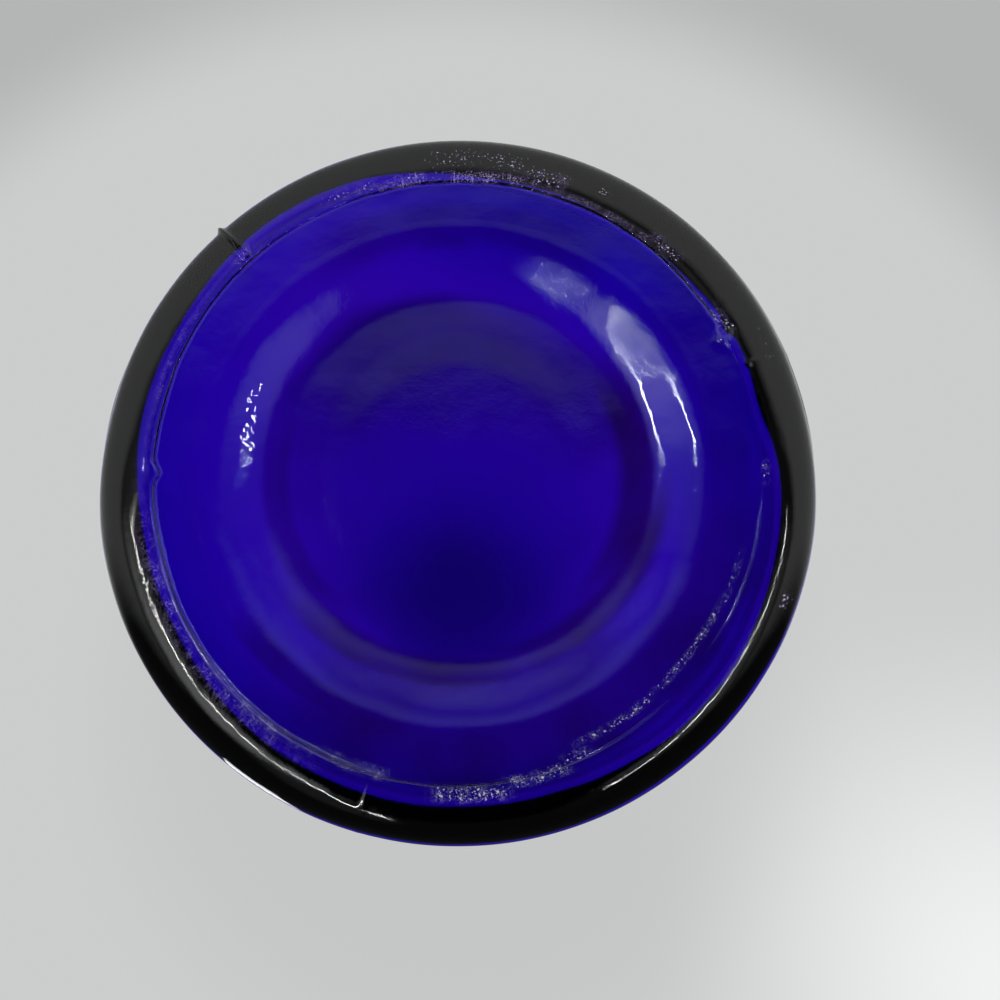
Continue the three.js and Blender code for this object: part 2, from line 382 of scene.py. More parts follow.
def column_angles(radii, marks):
    """Angle of each column on each ring: even all round, and gathered at the seams and the nick"""
    gathered = [marks.strong_fin, marks.right_fin, marks.low_fin, marks.nick]
    zone = math.radians(4.0)
    columns = []
    for even in np.radians(np.arange(0.0, 360.0, 1.0)):
        if min(abs(turned_from(even, middle)) for middle in gathered) > zone:
            columns.append((even, 0.0, 0.0))
    for middle in gathered:
        for side in (-1, 1):
            for reach, limit in GATHERED_COLUMNS:
                columns.append((middle, side * reach * MM, math.radians(limit)))
        columns.append((middle, 0.0, 0.0))
    columns.sort(key=lambda column: column[0] + column[1] / marks.plate_seam_r)
    middle, reach, limit = (np.array(values) for values in zip(*columns))
    turn = np.abs(reach) / np.maximum(radii[:, None], MM)
    return middle + np.sign(reach) * np.minimum(turn, limit)


SEAM_FADES = (
    # direction and spread in degrees of each stretch where the plate seam fades out
    (222.0, 28.0), (180.0, 28.0), (160.0, 11.0),
)
FADED_SHARE = 0.95
KINK_DEPTH = 0.9 * MM
NICK_DEPTH = 1.1 * MM
NICK_EDGE = 0.5 * MM
# radii between which one half of the rest ring is rounded off
WORN_FROM = 47.3 * MM
WORN_TO = 53.0 * MM


def seam_wander(angles, marks):
    """How far the plate seam strays outwards at each angle"""
    rng = np.random.default_rng(marks.seed)
    stray = np.zeros_like(angles)
    for turns in (2, 3, 5, 9, 14, 23, 37, 58):
        stray += np.sin(turns * angles + rng.uniform(0, 2 * math.pi)) / turns ** 0.75
    kink = bump(turned_from(angles, 0.0), 0.0, math.radians(1.4))
    return stray * marks.plate_seam_wander * 0.6 - KINK_DEPTH * kink


def bottle_relief(size, marks, points, radii, angles, outer):
    """Height of the mould's marks above the turned profile, along its normal"""
    plain_r = points[:, :1]
    high = points[:, 1:]
    outer = outer[:, None]
    under = outer & (high < size.heel_round)
    seam = plain_r - marks.plate_seam_r
    strength = 0.75 + 0.35 * np.sin(3 * angles + 1.0) * np.sin(7 * angles + 0.4)
    for faint, spread in SEAM_FADES:
        apart = turned_from(angles, math.radians(faint))
        strength = strength * (1 - FADED_SHARE * bump(apart, 0.0, math.radians(spread)))
    groove = marks.plate_groove * strength * bump(seam, -0.1 * MM, 0.16 * MM)
    lip = marks.plate_lip * strength * bump(seam, 0.22 * MM, 0.16 * MM)
    relief = np.where(under, lip - groove, 0.0)

    outside = np.where(outer, smooth(0.4 * MM, 1.2 * MM, seam), 0.0)
    fade = smooth(9 * MM, 22 * MM, high)
    fins = (
        # direction, then height at the heel, height on the side and width in millimetres
        (marks.strong_fin, 0.75, 0.22, 0.5),
        (marks.right_fin, 0.07, 0.05, 0.4),
        (marks.low_fin, 0.03, 0.03, 0.4),
    )
    for middle, heel_height, side_height, width in fins:
        tall = (heel_height + (side_height - heel_height) * fade) * MM
        relief = relief + outside * tall * bump(turned_from(angles, middle) * radii, 0.0, width * MM)

    spot = bump(turned_from(angles, marks.strong_fin), 0.0, math.radians(46.0))
    relief = relief - marks.flat_spot * spot * outside * smooth(0.0, 4 * MM, high)
    worn_off = smooth(WORN_FROM, WORN_TO, plain_r) * smooth(-0.2, 0.25, np.sin(angles))
    relief = relief - np.where(under, marks.worn_edge * worn_off, 0.0)
    apart = turned_from(angles, marks.nick) * radii
    hollow = bump(apart, 0.2 * MM, 0.9 * MM) * bump(seam, 0.5 * MM, 0.8 * MM)
    edge = bump(apart, 1.3 * MM, 0.5 * MM) * bump(seam, -0.4 * MM, 1.0 * MM)
    return relief + np.where(under, NICK_EDGE * edge - NICK_DEPTH * hollow, 0.0)


INSIDE_SWELLS = (
    # direction and spread in degrees, and how far the inside swells out there at the heel, in millimetres
    (66.0, 30.0, 2.3), (-25.0, 26.0, -1.1), (221.0, 26.0, 0.7), (166.0, 9.0, -1.2), (128.0, 20.0, -0.5),
)


def inside_swell(angles):
    """How far the inside swells out at the heel at each angle"""
    swell = np.zeros_like(angles)
    for direction, spread, amount in INSIDE_SWELLS:
        swell += amount * MM * bump(turned_from(angles, math.radians(direction)), 0.0, math.radians(spread))
    return swell


def make_bottle(size, marks):
    """Bottle with the mould's seams, the nick and the slow waves of the glass"""
    base = bottle_underside(size)
    rows = underside_rows(size, marks)
    underside = np.column_stack([rows, np.interp(rows, base[:, 0], base[:, 1])])
    outside = joined(underside, bottle_side(size, 38), bottle_mouth(size))
    lip_row = int(np.argmax(outside[:, 1]))
    points = joined(outside, bottle_inside(size))
    plain_r, plain_z = points.T
    outer = np.arange(len(points)) <= lip_row
    under = outer & (plain_z < size.heel_round)
    normals = outward(points)
    normals[[0, -1]] = [[0, -1], [0, 1]]

    angles = column_angles(plain_r, marks)
    off_seam = plain_r - marks.plate_seam_r
    near_seam = smooth(-4.5 * MM, -1.2 * MM, off_seam) * smooth(-4.2 * MM, -1.2 * MM, -off_seam)
    near_seam = np.where(under, near_seam, 0.0)
    radii = plain_r[:, None] + near_seam[:, None] * seam_wander(angles, marks)
    at_heel = smooth(20 * MM, 40 * MM, plain_r) * (1 - smooth(30 * MM, 70 * MM, plain_z))
    at_heel = np.where(outer, 0.0, at_heel)
    uneven = (marks.inside_room - marks.inside_shift * np.sin(angles)
              + marks.inside_oval * np.cos(2 * angles) + inside_swell(angles))
    radii = radii + at_heel[:, None] * uneven
    heights = np.broadcast_to(plain_z[:, None], radii.shape).copy()
    heights[:len(rows)] = np.interp(radii[:len(rows)], base[:, 0], base[:, 1])

    relief = bottle_relief(size, marks, points, radii, angles, outer)
    grid = placed(radii, heights, angles)
    slow = waves(grid, 45.0, marks.seed) + 0.5 * waves(grid, 130.0, marks.seed + 1)
    calm = np.where(under, smooth(44 * MM, 47 * MM, plain_r), 0.0)
    slow = slow * (1 - 0.5 * calm[:, None])
    depth = np.where(outer, marks.wave * 0.6, marks.wave * 1.6)
    fade = smooth(0.0, 12 * MM, plain_r) * np.where(plain_r < size.lip_r, 0.4, 1.0)
    sunk = np.where(outer, marks.wave, 0.0) * fade
    relief = relief + slow * depth[:, None] * fade[:, None] - sunk[:, None]
    radii = radii + normals[:, :1] * relief
    heights = np.maximum(heights + normals[:, 1:] * relief, 0.0)
    return turned_object("glass_bottle", placed(radii, heights, angles), closed=False)


def stopper_outline(size, steps):
    """Outside of the stopper above its waist: the bulb's egg-shaped lower half, then the spire"""
    bulb_z = size.collar_z + size.collar + size.waist_rise + size.bulb_rise
    spire_z = bulb_z + size.spire_rise
    egg = math.acos(size.waist_r / size.bulb_r)
    return joined(
        arc((0, bulb_z), (size.bulb_r, size.bulb_rise / math.sin(egg)), -egg, 0, steps),
        bezier((size.bulb_r, bulb_z), (size.bulb_r, bulb_z + size.spire_low_arm),
               (size.spire_r, spire_z - size.spire_high_arm), (size.spire_r, spire_z), 2 * steps),
    )


def make_stopper(size):
    """Hollow-blown stopper: hollow, open shank, collar, waist, bulb, spire and tip"""
    waist_z = size.collar_z + size.collar
    bulb_start = waist_z + size.waist_rise
    spire_z = bulb_start + size.bulb_rise + size.spire_rise
    bore_r = size.shank_r - size.wall
    hollow = stopper_outline(size, 22) - (size.wall, 0)
    hollow = hollow[hollow[:, 0] > size.cavity_tip_r][::-1]
    collar_round = size.collar / 2
    root_round = 0.6 * MM
    tip = math.acos(size.spire_r / size.tip_r)
    edge = (size.shank_r - size.shank_edge, size.shank_end + size.shank_edge)
    points = joined(
        (0, hollow[0, 1] + 0.8 * size.cavity_tip_r),
        (0.7 * size.cavity_tip_r, hollow[0, 1] + 0.5 * size.cavity_tip_r),
        hollow,
        bezier(hollow[-1], hollow[-1] - (0, 0.5 * size.waist_rise), (bore_r, waist_z + 0.5 * size.waist_rise),
               (bore_r, waist_z), 6),
        line((bore_r, waist_z), (bore_r, size.shank_end), 12),
        line((bore_r, size.shank_end), (edge[0], size.shank_end), 2),
        arc(edge, size.shank_edge, -math.pi / 2, 0, 5),
        line((size.shank_r, edge[1]), (size.shank_r, size.collar_z - root_round), 10),
        arc((size.shank_r + root_round, size.collar_z - root_round), root_round, math.pi, math.pi / 2, 4),
        line((size.shank_r + root_round, size.collar_z), (size.collar_r - collar_round, size.collar_z), 6),
        arc((size.collar_r - collar_round, size.collar_z + collar_round), collar_round,
            -math.pi / 2, math.pi / 2, 14),
        line((size.collar_r - collar_round, waist_z), (size.waist_r + size.waist_rise, waist_z), 4),
        bezier((size.waist_r + size.waist_rise, waist_z), (size.waist_r + size.waist_rise / 2, waist_z),
               (size.waist_r, waist_z + size.waist_rise / 2), (size.waist_r, bulb_start), 8),
        stopper_outline(size, 26),
        arc((0, spire_z + size.tip_r * math.sin(tip)), size.tip_r, -tip, math.pi / 2, 14),
    )
    normals = outward(points)
    normals[[0, -1]] = [[0, -1], [0, 1]]
    angles = np.radians(np.arange(0.0, 360.0, 2.0))
    grid = placed(points[:, :1], points[:, 1:], angles)
    fade = smooth(9 * MM, 15 * MM, points[:, 0]) * smooth(waist_z + MM, bulb_start, points[:, 1])
    relief = (waves(grid, 60.0, 3) - 0.6) * 0.12 * MM * fade[:, None]
    radii = np.maximum(points[:, :1] + normals[:, :1] * relief, 0.0)
    heights = points[:, 1:] + normals[:, 1:] * relief
    return turned_object("glass_stopper", placed(radii, heights, angles), closed=False)


PORE_STRETCH = (1.0, 1.0, 0.45)
PORE_SCALE = 700.0


def make_cork(size):
    """Cork sleeve with pores pressed into its side and ends"""
    end_r = size.outer_r - size.taper
    bevel = 0.3 * MM
    points = joined(
        line((size.inner_r, size.high), (size.inner_r, size.low), 12),
        line((size.inner_r, size.low), (end_r - size.chamfer, size.low), 3),
        line((end_r - size.chamfer, size.low), (end_r, size.low + size.chamfer), 3),
        line((end_r, size.low + size.chamfer), (size.outer_r, size.low + size.taper_length), 26),
        line((size.outer_r, size.low + size.taper_length), (size.outer_r, size.high - bevel), 26),
        line((size.outer_r - bevel, size.high), (size.inner_r, size.high), 3),
    )[:-1]
    normals = outward(points)
    angles = np.radians(np.arange(0.0, 360.0, 2.5))
    grid = placed(points[:, :1], points[:, 1:], angles)
    grain = waves(grid, 420.0, 11)
    pores = waves(grid * PORE_STRETCH, PORE_SCALE, 12)
    relief = -size.pit * (0.2 * (grain + 1) / 2 + smooth(0.28, 0.6, pores))
    relief[points[:, 0] <= size.inner_r] = 0.0
    radii = points[:, :1] + normals[:, :1] * relief
    heights = np.clip(points[:, 1:] + normals[:, 1:] * relief, size.low, size.high)
    return turned_object("cork_sleeve_piece", placed(radii, heights, angles), closed=True)


def add_node(tree, kind, inputs=None, **settings):
    """Shader node with its settings, and its inputs set or joined"""
    node = tree.nodes.new(kind)
    for name, value in settings.items():
        setattr(node, name, value)
    for socket, value in (inputs or {}).items():
        if isinstance(value, bpy.types.NodeSocket):
            tree.links.new(value, node.inputs[socket])
        else:
            node.inputs[socket].default_value = value
    return node


def maths(tree, operation, first, second=0.0, clamp=False):
    """Result of a Math node"""
    return add_node(tree, "ShaderNodeMath", {0: first, 1: second}, operation=operation,
                    use_clamp=clamp).outputs[0]


def product(tree, *values):
    """Product of values"""
    return reduce(lambda first, second: maths(tree, "MULTIPLY", first, second), values)


def largest(tree, *values):
    """Largest of values"""
    return reduce(lambda first, second: maths(tree, "MAXIMUM", first, second), values)


def ramped(tree, value, low, high, start=0.0, end=1.0):
    """Smooth ramp of a value from start at low to end at high"""
    return add_node(tree, "ShaderNodeMapRange", {"Value": value, "From Min": low, "From Max": high,
                                                 "To Min": start, "To Max": end},
                    interpolation_type="SMOOTHSTEP").outputs["Result"]


def speckle(tree, place, scale, detail=2.0):
    """Value of a noise texture"""
    inputs = {"Vector": place, "Scale": scale, "Detail": detail}
    return add_node(tree, "ShaderNodeTexNoise", inputs).outputs[0]


def mixed(tree, amount, first, second):
    """Mix of two colours"""
    inputs = {0: amount, 6: first, 7: second}
    return add_node(tree, "ShaderNodeMix", inputs, data_type="RGBA").outputs[2]


def new_material(name):
    """Material with an empty node tree and its output"""
    material = bpy.data.materials.new(name)
    material.use_nodes = True
    material.node_tree.nodes.clear()
    output = add_node(material.node_tree, "ShaderNodeOutputMaterial")
    return material, material.node_tree, output


def opaque(rgb):
    """Colour with full alpha"""
    return (*rgb, 1.0)


def polar_place(tree):
    """Object coordinates, and the angle, radius and height that they lie at"""
    place = add_node(tree, "ShaderNodeTexCoord").outputs["Object"]
    parts = add_node(tree, "ShaderNodeSeparateXYZ", {0: place}).outputs
    turn = maths(tree, "ARCTAN2", parts["Y"], parts["X"])
    level = add_node(tree, "ShaderNodeCombineXYZ", {"X": parts["X"], "Y": parts["Y"]}).outputs[0]
    radius = add_node(tree, "ShaderNodeVectorMath", {0: level}, operation="LENGTH").outputs["Value"]
    return place, turn, radius, parts["Z"]


def patch(tree, turn, radius, direction, spread, middle, reach):
    """Soft-edged patch of the base, about a direction in degrees and a radius in millimetres"""
    off = maths(tree, "COSINE", maths(tree, "SUBTRACT", turn, math.radians(direction)))
    round_it = ramped(tree, off, math.cos(math.radians(spread)), math.cos(math.radians(spread * 0.4)))
    away = maths(tree, "ABSOLUTE", maths(tree, "SUBTRACT", radius, middle * MM))
    return product(tree, round_it, ramped(tree, away, reach * 0.35 * MM, reach * MM, 1.0, 0.0))


GRAINY_PATCHES = (
    # direction and spread in degrees, radius and reach in millimetres, added grain, added pebbles
    (133.0, 34.0, 34.9, 3.6, 1.6, 0.0), (15.0, 18.0, 34.2, 3.8, -0.3, 0.45),
)
# Patches of painted shade: there the base's tint is darkened to stand in for dimmer light seen through the
# base
PAINTED_SHADE_PATCHES = (
    # direction and spread in degrees, radius and reach in millimetres, how strongly the painted shade darkens
    # the tint there
    (246.0, 90.0, 43.0, 9.5, 0.9), (182.0, 52.0, 27.6, 4.6, 0.9), (222.0, 50.0, 29.8, 3.8, 0.9),
    (283.0, 50.0, 30.6, 3.6, 0.9), (265.0, 55.0, 34.5, 6.5, 0.7), (90.0, 85.0, 22.0, 8.0, 0.5),
    (180.0, 50.0, 41.5, 6.0, 0.6), (90.0, 42.0, 40.0, 5.0, 0.6), (345.0, 42.0, 28.3, 3.0, 0.55),
    (302.0, 30.0, 39.4, 3.2, 0.8), (86.0, 9.0, 38.2, 3.4, 0.6),
)
WORN_PATCHES = (
    # direction and spread in degrees, radius and reach in millimetres, share of flecks, share of haze
    (90.0, 21.0, 47.4, 1.4, 0.55, 0.8), (93.0, 13.0, 50.4, 2.6, 0.72, 0.0), (106.0, 6.0, 49.0, 2.2, 0.8, 0.2),
    (117.0, 2.0, 50.5, 1.0, 0.8, 0.0), (132.0, 4.5, 48.2, 1.6, 0.8, 0.3), (120.0, 16.0, 47.4, 0.8, 0.3, 0.5),
    (149.0, 4.0, 47.3, 1.8, 0.9, 0.3), (157.0, 5.0, 52.0, 2.2, 0.5, 0.0), (180.0, 3.0, 46.9, 1.0, 0.9, 0.3),
    (69.0, 8.0, 47.8, 1.4, 0.7, 0.3), (202.0, 2.2, 53.0, 1.2, 1.0, 0.1), (203.0, 9.0, 44.4, 0.8, 0.8, 0.4),
    (218.0, 14.0, 44.0, 0.9, 0.9, 0.5), (238.0, 12.0, 44.2, 1.0, 0.9, 0.5), (248.0, 4.0, 45.8, 1.4, 0.9, 0.4),
    (268.0, 9.0, 47.9, 1.7, 1.0, 0.9), (256.0, 8.0, 46.9, 1.3, 0.9, 0.9), (-24.0, 16.0, 47.6, 1.0, 0.2, 0.5),
    (-50.0, 16.0, 47.2, 1.2, 0.5, 0.7), (-70.0, 9.0, 46.4, 1.4, 0.7, 0.6), (20.0, 18.0, 47.6, 0.7, 0.2, 0.3),
    (46.0, 4.0, 47.6, 1.6, 0.6, 0.3), (-32.0, 38.0, 48.3, 1.7, 0.15, 0.35),
)


# how close the hatch is: strokes to a radian round the ring, and to a metre outwards
HATCH_ROUND = 47 * 3.2
HATCH_OUTWARDS = 420.0


def painted_shade_mask(tree, place, turn, radius, high):
    """Where the base's tint is painted darker: mostly painted shade for dimmer light seen through the base,
    with a little random cloudiness
    """
    patches = [product(tree, patch(tree, turn, radius, *where), amount) for *where, amount in PAINTED_SHADE_PATCHES]
    cloudy = ramped(tree, speckle(tree, place, 70.0), 0.3, 0.7, -0.1, 0.1)
    painted_shade = maths(tree, "ADD", largest(tree, *patches), cloudy, clamp=True)
    return product(tree, painted_shade, ramped(tree, high, 3.6 * MM, 4.6 * MM, 1.0, 0.0))


def scuff_mask(tree, place, turn, radius, high):
    """Chalky flecks, fine haze and radial hatch on the rest ring and the heel"""
    low = ramped(tree, high, 3.0 * MM, 4.0 * MM, 1.0, 0.0)
    flecked = hazed = 0.0
    for *where, flecks, haze in WORN_PATCHES:
        here = patch(tree, turn, radius, *where)
        flecked = largest(tree, flecked, product(tree, here, flecks))
        hazed = largest(tree, hazed, product(tree, here, haze))
    chips = largest(tree, speckle(tree, place, 1500.0, 6.0),
                    maths(tree, "ADD", speckle(tree, place, 3000.0, 3.0), 0.01))
    limit = maths(tree, "SUBTRACT", 0.77, product(tree, flecked, 0.17))
    chips = maths(tree, "MULTIPLY", maths(tree, "SUBTRACT", chips, limit), 16.0, clamp=True)
    chips = product(tree, chips, ramped(tree, flecked, 0.05, 0.25))
    hatch_place = add_node(tree, "ShaderNodeCombineXYZ", {
        "X": product(tree, turn, HATCH_ROUND), "Y": product(tree, radius, HATCH_OUTWARDS)}).outputs[0]
    grain = largest(tree, maths(tree, "ADD", speckle(tree, hatch_place, 1.0), -0.05),
                    speckle(tree, place, 3600.0, 4.0))
    mottle = ramped(tree, speckle(tree, place, 520.0, 3.0), 0.38, 0.62, 0.1, 1.0)
    mist = product(tree, ramped(tree, grain, 0.46, 0.66, 0.0, 0.7), mottle, hazed)
    return maths(tree, "MULTIPLY", largest(tree, chips, mist), low, clamp=True)


def glass_material(name, finish, worn_and_shaded=False):
    """Deep cobalt glass: clear at its faces, coloured through its depth; with the flag set it is chalky in
    places and its base's tint is darkened in patches as painted shade
    """
    material, tree, output = new_material(name)
    place, turn, radius, high = polar_place(tree)
    peel = speckle(tree, place, 260.0)
    grain = product(tree, speckle(tree, place, 2400.0),
                    ramped(tree, speckle(tree, place, 85.0), 0.42, 0.62, 0.15, 1.0))
    skin = maths(tree, "ADD", peel, product(tree, grain, 0.34))
    if worn_and_shaded:
        pebbles = speckle(tree, place, 1150.0, 1.0)
        for *where, grainy, pebbly in GRAINY_PATCHES:
            here = patch(tree, turn, radius, *where)
            added = maths(tree, "ADD", product(tree, grain, grainy), product(tree, pebbles, pebbly))
            skin = maths(tree, "ADD", skin, product(tree, here, added))
    soft = ramped(tree, speckle(tree, place, 60.0, 3.0), 0.35, 0.7, 0.006, 0.022)
    tilt = add_node(tree, "ShaderNodeBump", {
        "Height": skin, "Strength": 0.1, "Distance": 0.3 * MM}).outputs[0]
    glass = add_node(tree, "ShaderNodeBsdfPrincipled", {
        "Base Color": opaque(finish.glass_tint), "Roughness": soft, "IOR": 1.5, "Transmission Weight": 1.0,
        "Normal": tilt})
    if worn_and_shaded:
        mask = scuff_mask(tree, place, turn, radius, high)
        # Painted shade: patches of the base get a darker tint; the chalky scuffs above are the glass's own
        # wear
        painted_shade = painted_shade_mask(tree, place, turn, radius, high)
        tint = mixed(tree, painted_shade, opaque(finish.glass_tint), opaque(finish.glass_painted_shade))
        tree.links.new(mixed(tree, mask, tint, opaque(finish.scuff)), glass.inputs["Base Color"])
        tree.links.new(maths(tree, "SUBTRACT", 1.0, product(tree, mask, 0.9)),
                       glass.inputs["Transmission Weight"])
        floor = product(tree, ramped(tree, high, 5.5 * MM, 7.0 * MM),
                        ramped(tree, high, 12.0 * MM, 15.0 * MM, 1.0, 0.0),
                        ramped(tree, radius, 46.0 * MM, 52.0 * MM, 0.36, 0.14))
        rough = largest(tree, soft, floor, product(tree, mask, 0.6))
        tree.links.new(rough, glass.inputs["Roughness"])
    depth = add_node(tree, "ShaderNodeVolumeAbsorption", {
        "Color": opaque(finish.glass_body), "Density": finish.glass_depth})
    tree.links.new(glass.outputs[0], output.inputs["Surface"])
    tree.links.new(depth.outputs[0], output.inputs["Volume"])
    return material


def cork_material(finish):
    """Natural cork: pale and dark grains, and dark bark-filled pores that run round the sleeve"""
    material, tree, output = new_material("natural_cork")
    place = add_node(tree, "ShaderNodeTexCoord").outputs["Object"]
    grains = add_node(tree, "ShaderNodeTexVoronoi", {"Vector": place, "Scale": 900.0}).outputs["Color"]
    tone = add_node(tree, "ShaderNodeSeparateColor", {0: grains}).outputs[0]
    cloudy = speckle(tree, place, 160.0, 4.0)
    shade = maths(tree, "ADD", product(tree, tone, 0.55), product(tree, cloudy, 0.45))
    body = mixed(tree, shade, opaque(finish.cork_dark), opaque(finish.cork_light))
    stretched = add_node(tree, "ShaderNodeVectorMath", {0: place, 1: PORE_STRETCH}, operation="MULTIPLY")
    pores = ramped(tree, speckle(tree, stretched.outputs[0], PORE_SCALE, 3.0), 0.60, 0.70)
    skin = mixed(tree, pores, body, opaque(finish.cork_pore))
    rough = ramped(tree, cloudy, 0.3, 0.7, 0.72, 0.92)
    fine = speckle(tree, place, 2600.0, 3.0)
    tilt = add_node(tree, "ShaderNodeBump", {
        "Height": fine, "Strength": 0.5, "Distance": 0.15 * MM}).outputs[0]
    cork = add_node(tree, "ShaderNodeBsdfPrincipled", {
        "Base Color": skin, "Roughness": rough, "Normal": tilt})
    tree.links.new(cork.outputs[0], output.inputs["Surface"])
    return material


def dressed(piece, material, node, body):
    """Gives a piece its material and puts it in its CAD node's place"""
    piece.data.materials.append(material)
    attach(piece, body)
    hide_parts(node)


def facing(place, target, up):
    """Matrix of a camera or lamp at a place, with its back to +Z and its top towards up"""
    back = (place - target).normalized()
    right = up.cross(back).normalized()
    matrix = Matrix((right, back.cross(right), back)).transposed().to_4x4()
    matrix.translation = place
    return matrix


def add_lamp(name, place, target, size, radiance, up):
    """Soft rectangular lamp of a given brightness"""
    data = bpy.data.lights.new(name, "AREA")
    data.shape = "RECTANGLE"
    data.size, data.size_y = size
    data.energy = radiance * math.pi * size[0] * size[1]
    lamp = bpy.data.objects.new(name, data)
    lamp.matrix_world = facing(Vector(place), Vector(target), Vector(up))
    lamp.visible_camera = False
    lamp.visible_transmission = False
    bpy.context.scene.collection.objects.link(lamp)


STRIP_LAMPS = (
    # name, place across the view, and its ends towards the view's top and bottom, in metres
    ("left_strip", 0.437, 0.37, -1.36),
    ("right_strip", -0.590, 0.32, -0.85),
)
STRIP_HEIGHT = -2.0


def add_lamps(stage):
    """Two far strip lamps under the base, to its left and right, and one broad lamp over the stage"""
    for name, across, start, end in STRIP_LAMPS:
        middle = Vector((across, (start + end) / 2, STRIP_HEIGHT))
        size = (stage.strip_width, start - end)
        add_lamp(name, middle, (0, 0, 0), size, stage.strip_radiance, (0, 1, 0))
    add_lamp("key_lamp", (0.63, -0.72, 0.95), (0, 0, 0.12), (0.22, 0.65), stage.key_radiance, (0, 0, 1))


def backdrop_level(tree, across, along, up, through):
    """Brightness of the pale backdrop: dimmer in the upper corners and in a band seen through the glass"""
    dusk = largest(tree, ramped(tree, up, 0.845, 0.89, 0.76, 1.0), ramped(tree, up, 0.45, 0.7, 1.0, 0.76))
    middle = ramped(tree, up, 0.955, 0.985, 1.0, 0.93)
    corner = product(tree, ramped(tree, across, -0.38, -0.12, 1.0, 0.0),
                     ramped(tree, along, -0.2, 0.1, 1.0, 0.0),
                     ramped(tree, up, 0.7, 0.9, 0.0, 0.46))
    shade = product(tree, ramped(tree, along, 0.14, 0.2, 0.0, 0.8),
                    ramped(tree, along, 0.26, 0.34, 1.0, 0.0),
                    ramped(tree, maths(tree, "ABSOLUTE", across), 0.1, 0.2, 1.0, 0.0),
                    ramped(tree, up, 0.5, 0.8),
                    through)
    return product(tree, dusk, middle, maths(tree, "ADD", 1.0, corner), maths(tree, "SUBTRACT", 1.0, shade))


DARKEST_ROOM = 0.012


def room_level(tree, across, along, up):
    """Brightness that polished faces mirror: dark under the base, a sheen, two side walls, a lit horizon"""
    aside = maths(tree, "ABSOLUTE", across)
    sheen = product(tree, ramped(tree, along, 0.185, 0.30, 0.0, 0.58),
                    ramped(tree, along, 0.29, 0.42, 1.0, 0.3),
                    ramped(tree, aside, 0.14, 0.27, 1.0, 0.1))
    sides = largest(tree, ramped(tree, across, 0.115, 0.19), ramped(tree, across, -0.22, -0.15, 1.0, 0.0))
    walls = product(tree, sides,
                    ramped(tree, aside, 0.3, 0.5, 1.0, 0.0),
                    ramped(tree, across, -0.1, 0.1, 1.0, 3.1),
                    ramped(tree, along, 0.0, 0.18, 1.0, 0.12),
                    ramped(tree, along, 0.2, 0.3, 1.0, 0.15),
                    ramped(tree, along, -0.34, -0.12, 0.1, 1.0),
                    ramped(tree, up, -0.8, -0.6, 1.0, 0.25))
    horizon = product(tree, ramped(tree, up, -0.94, -0.83, 0.0, 1.25),
                      ramped(tree, along, -0.3, 0.05, 0.06, 1.0))
    return largest(tree, sheen, walls, horizon, DARKEST_ROOM)


def add_world(stage):
    """Pale backdrop for the view and for light through the glass, and a dimmer room for its reflections"""
    world = bpy.data.worlds.new("backdrop")
    world.use_nodes = True
    tree = world.node_tree
    tree.nodes.clear()
    way = add_node(tree, "ShaderNodeTexCoord").outputs["Generated"]
    parts = add_node(tree, "ShaderNodeSeparateXYZ", {0: way}).outputs
    way = (parts["X"], parts["Y"], parts["Z"])
    path = add_node(tree, "ShaderNodeLightPath").outputs
    mirrored = maths(tree, "SUBTRACT", path["Is Glossy Ray"], path["Is Transmission Ray"], clamp=True)
    levels = {
        0: mirrored,
        2: backdrop_level(tree, *way, path["Is Transmission Ray"]),
        3: room_level(tree, *way),
    }
    strength = add_node(tree, "ShaderNodeMix", levels, data_type="FLOAT").outputs[0]
    back = add_node(tree, "ShaderNodeBackground", {"Color": opaque(stage.backdrop), "Strength": strength})
    output = add_node(tree, "ShaderNodeOutputWorld")
    tree.links.new(back.outputs[0], output.inputs["Surface"])
    bpy.context.scene.world = world


FLOOR_RADIUS = 4.0
FLOOR_SIDES = 96


def add_floor(stage):
    """Pale round floor that shows from above only, so that the base is lit and seen from below"""
    mesh = bpy.data.meshes.new("pale_floor")
    turn = np.linspace(0, 2 * math.pi, FLOOR_SIDES, endpoint=False)
    rim = [(FLOOR_RADIUS * math.cos(a), FLOOR_RADIUS * math.sin(a), 0.0) for a in turn]
    mesh.from_pydata(rim, [], [list(range(len(rim)))])
    floor = bpy.data.objects.new("pale_floor", mesh)
    bpy.context.scene.collection.objects.link(floor)
    material, tree, output = new_material("pale_floor")
    place = add_node(tree, "ShaderNodeTexCoord").outputs["Object"]
    tone = ramped(tree, speckle(tree, place, 3.0, 3.0), 0.3, 0.7, 0.985, 1.015)
    tint = add_node(tree, "ShaderNodeVectorMath", {0: stage.floor[:], "Scale": tone},
                    operation="SCALE").outputs[0]
    matt = add_node(tree, "ShaderNodeBsdfDiffuse", {"Color": tint})
    gone = add_node(tree, "ShaderNodeBsdfTransparent")
    below = add_node(tree, "ShaderNodeNewGeometry").outputs["Backfacing"]
    both = add_node(tree, "ShaderNodeMixShader", {0: below, 1: matt.outputs[0], 2: gone.outputs[0]})
    tree.links.new(both.outputs[0], output.inputs["Surface"])
    mesh.materials.append(material)
    floor.visible_shadow = False
    floor.visible_glossy = False
    floor.visible_diffuse = False


